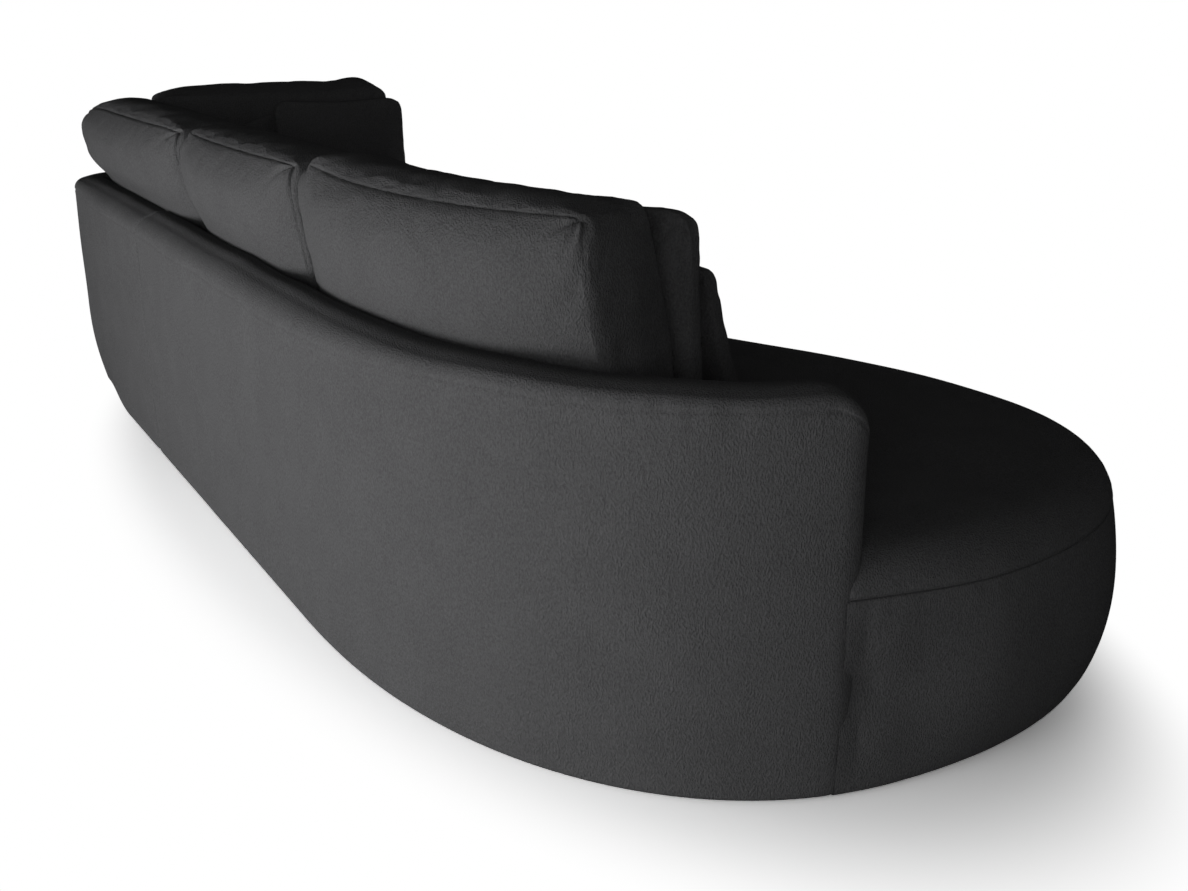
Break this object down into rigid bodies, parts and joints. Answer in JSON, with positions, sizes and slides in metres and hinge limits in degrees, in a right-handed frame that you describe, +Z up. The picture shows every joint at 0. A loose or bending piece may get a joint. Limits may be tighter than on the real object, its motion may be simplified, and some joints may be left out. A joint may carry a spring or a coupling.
{
  "type": "corner sofa",
  "caption": "Rounded corner sofa in charcoal boucle: an upholstered back shell wraps a curved seat that ends in a round ottoman, with loose back cushions and scatter pillows.",
  "frame": {"origin": "middle of the object's bounding box, on the floor under the feet", "axes": "+X along the long back towards the corner module, +Y towards the back shell's rear face, +Z up"},
  "size_m": [3.1599, 1.3698, 0.9024],
  "materials": {
    "charcoal_fabric": "short-pile boucle, matt",
    "plywood": "raw, sanded",
    "foam": "open-cell foam, matt",
    "webbing": "woven elastic",
    "black_plastic": "moulded, matt",
    "zinc_steel": "zinc plated"
  },
  "bodies": {
    "long_module": {"long_base_board": "plywood", "long_deck_ring": "plywood", "long_seat_foam": "foam", "long_seat_cover": "charcoal_fabric", "long_border": "charcoal_fabric", "long_back_core": "plywood", "long_back_shell": "charcoal_fabric", "long_post_1": "plywood", "long_post_2": "plywood", "long_post_3": "plywood", "long_post_4": "plywood", "long_post_5": "plywood", "long_post_6": "plywood", "long_foot_1": "black_plastic", "long_foot_2": "black_plastic", "long_foot_3": "black_plastic", "long_foot_4": "black_plastic", "long_foot_5": "black_plastic", "long_foot_6": "black_plastic", "long_strap_1": "webbing", "long_strap_2": "webbing", "long_strap_3": "webbing", "long_strap_4": "webbing", "long_strap_5": "webbing", "long_joint_panel": "plywood", "long_hook_1": "zinc_steel", "long_hook_2": "zinc_steel"},
    "corner_module": {"corner_base_board": "plywood", "corner_deck_ring": "plywood", "corner_seat_foam": "foam", "corner_seat_cover": "charcoal_fabric", "corner_border": "charcoal_fabric", "corner_back_core": "plywood", "corner_back_shell": "charcoal_fabric", "corner_post_1": "plywood", "corner_post_2": "plywood", "corner_post_3": "plywood", "corner_post_4": "plywood", "corner_foot_1": "black_plastic", "corner_foot_2": "black_plastic", "corner_foot_3": "black_plastic", "corner_foot_4": "black_plastic", "corner_strap_1": "webbing", "corner_strap_2": "webbing", "corner_strap_3": "webbing", "corner_joint_panel": "plywood", "corner_keeper_1": "zinc_steel", "corner_keeper_2": "zinc_steel"},
    "corner_back_cushion": {"corner_back_cushion": "charcoal_fabric"},
    "middle_back_cushion": {"middle_back_cushion": "charcoal_fabric"},
    "end_back_cushion": {"end_back_cushion": "charcoal_fabric"},
    "arm_cushion": {"arm_cushion": "charcoal_fabric"},
    "arm_pillow_rear": {"arm_pillow_rear": "charcoal_fabric"},
    "arm_pillow_front": {"arm_pillow_front": "charcoal_fabric"},
    "end_pillow_rear": {"end_pillow_rear": "charcoal_fabric"},
    "end_pillow_front": {"end_pillow_front": "charcoal_fabric"}
  },
  "joints": [
    {"name": "corner_lift", "type": "slide", "parent": "long_module", "child": "corner_module", "axis": [0, 0, 1], "range_m": [0, 0.06]},
    {"name": "corner_back_cushion_lift", "type": "slide", "parent": "corner_module", "child": "corner_back_cushion", "axis": [0, 0.2079, 0.9781], "range_m": [0, 0.35]},
    {"name": "middle_back_cushion_lift", "type": "slide", "parent": "long_module", "child": "middle_back_cushion", "axis": [0, 0.1564, 0.9877], "range_m": [0, 0.35]},
    {"name": "end_back_cushion_lift", "type": "slide", "parent": "long_module", "child": "end_back_cushion", "axis": [-0.0166, 0.1032, 0.9945], "range_m": [0, 0.35]},
    {"name": "arm_cushion_lift", "type": "slide", "parent": "corner_module", "child": "arm_cushion", "axis": [0.1392, 0, 0.9903], "range_m": [0, 0.35]},
    {"name": "arm_pillow_rear_lift", "type": "slide", "parent": "corner_module", "child": "arm_pillow_rear", "axis": [0.1392, 0, 0.9903], "range_m": [0, 0.35]},
    {"name": "arm_pillow_front_lift", "type": "slide", "parent": "corner_module", "child": "arm_pillow_front", "axis": [0.1392, 0, 0.9903], "range_m": [0, 0.35]},
    {"name": "end_pillow_rear_lift", "type": "slide", "parent": "long_module", "child": "end_pillow_rear", "axis": [-0.0299, 0.1001, 0.9945], "range_m": [0, 0.35]},
    {"name": "end_pillow_front_lift", "type": "slide", "parent": "long_module", "child": "end_pillow_front", "axis": [-0.0299, 0.1001, 0.9945], "range_m": [0, 0.35]}
  ]
}
